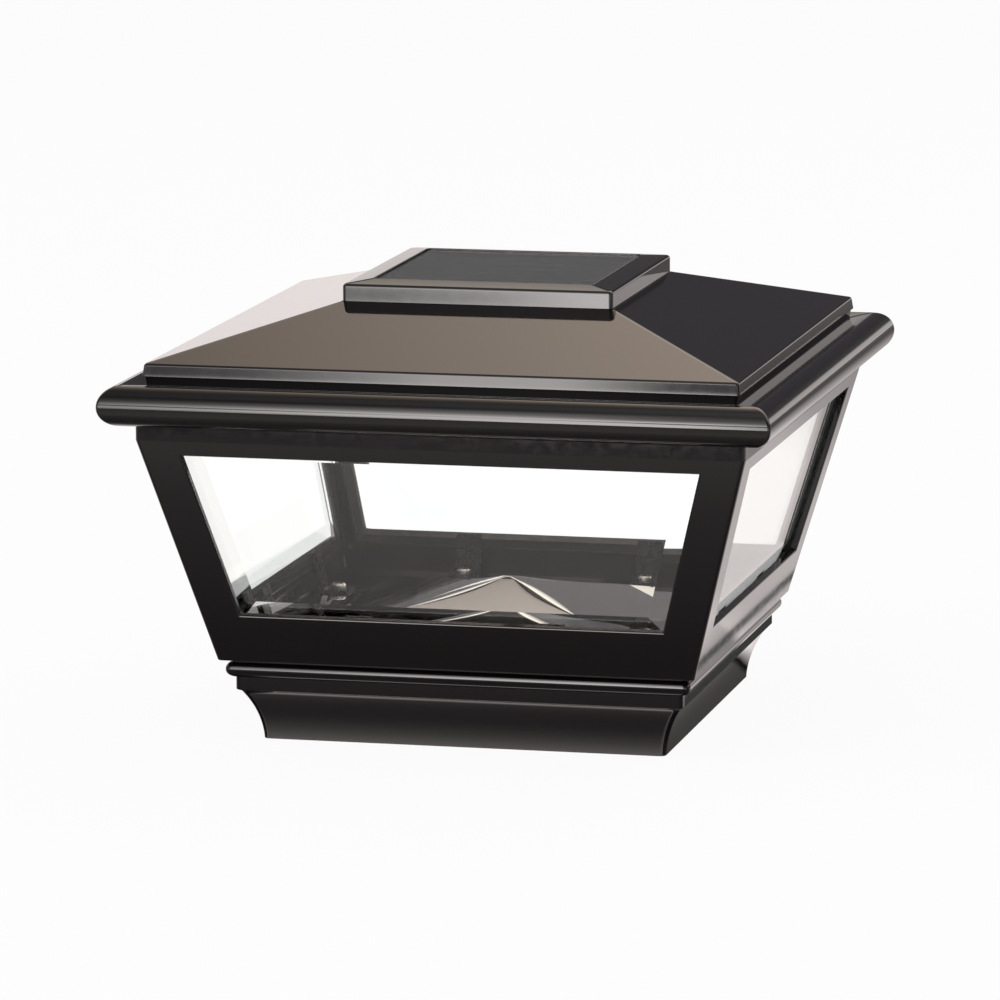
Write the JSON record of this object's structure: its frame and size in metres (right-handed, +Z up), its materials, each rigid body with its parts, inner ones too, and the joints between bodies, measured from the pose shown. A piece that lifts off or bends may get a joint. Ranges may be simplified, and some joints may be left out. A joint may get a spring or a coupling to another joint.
{
  "type": "deck post cap light",
  "caption": "Square solar lantern that caps a deck post: flared frame with bevelled glass sides, polished pyramid reflector, lift-off hip roof with a solar panel on top.",
  "frame": {"origin": "centre of the foot of the base skirt, at the bottom of the bounding box", "axes": "+Z up along the post, -Y towards the front, +X to the right as seen from the front"},
  "size_m": [0.2204, 0.2204, 0.149],
  "materials": {
    "black_casting": "black gloss powder coat on cast aluminium",
    "steel_screw": "bright zinc plated",
    "window_glass": "clear, bevelled, faintly green at the edges",
    "black_rubber": "matte",
    "polished_sheet": "polished to a mirror",
    "steel_clip": "satin",
    "bezel_plastic": "black gloss",
    "board_laminate": "green solder mask",
    "silicon_cell": "blue-black silicon",
    "clear_cover": "clear moulded resin",
    "ceiling_plastic": "white satin moulding",
    "lamp_package": "white package with yellow phosphor",
    "component_plastic": "black",
    "cell_sleeve": "blue shrink sleeve",
    "contact_metal": "nickel plated",
    "wire_jacket": "soft insulation"
  },
  "bodies": {
    "base": {"base_skirt": "black_casting", "lantern_frame": "black_casting", "frame_screws": "steel_screw", "glass_front": "window_glass", "glass_right": "window_glass", "glass_rear": "window_glass", "glass_left": "window_glass", "glazing_seals": "black_rubber", "reflector_pyramid": "polished_sheet", "glass_clips": "steel_clip", "clip_screws": "steel_screw"},
    "roof": {"roof_casting": "black_casting", "roof_seal": "black_rubber", "solar_bezel": "bezel_plastic", "bezel_gasket": "black_rubber", "bezel_screws": "steel_screw", "solar_board": "board_laminate", "solar_cells": "silicon_cell", "solar_cover": "clear_cover", "ceiling_plate": "ceiling_plastic", "ceiling_screws": "steel_screw", "light_lens": "clear_cover", "led_lamps": "lamp_package", "circuit_board": "board_laminate", "board_parts": "component_plastic", "board_screws": "steel_screw", "battery_cell": "cell_sleeve", "battery_contacts": "contact_metal", "switch_body": "component_plastic", "solar_leads": "wire_jacket", "battery_leads": "wire_jacket"},
    "battery_door": {"battery_door": "ceiling_plastic"},
    "switch": {"switch_slider": "component_plastic"}
  },
  "joints": [
    {"name": "roof_lift", "type": "slide", "parent": "base", "child": "roof", "axis": [0, 0, 1], "range_m": [0, 0.12]},
    {"name": "battery_door_hinge", "type": "hinge", "parent": "roof", "child": "battery_door", "pos_m": [0, 0.0499, 0.1146], "axis": [1, 0, 0], "range_deg": [0, 90]},
    {"name": "switch_slide", "type": "slide", "parent": "roof", "child": "switch", "axis": [1, 0, 0], "range_m": [-0.0015, 0.0015]}
  ]
}
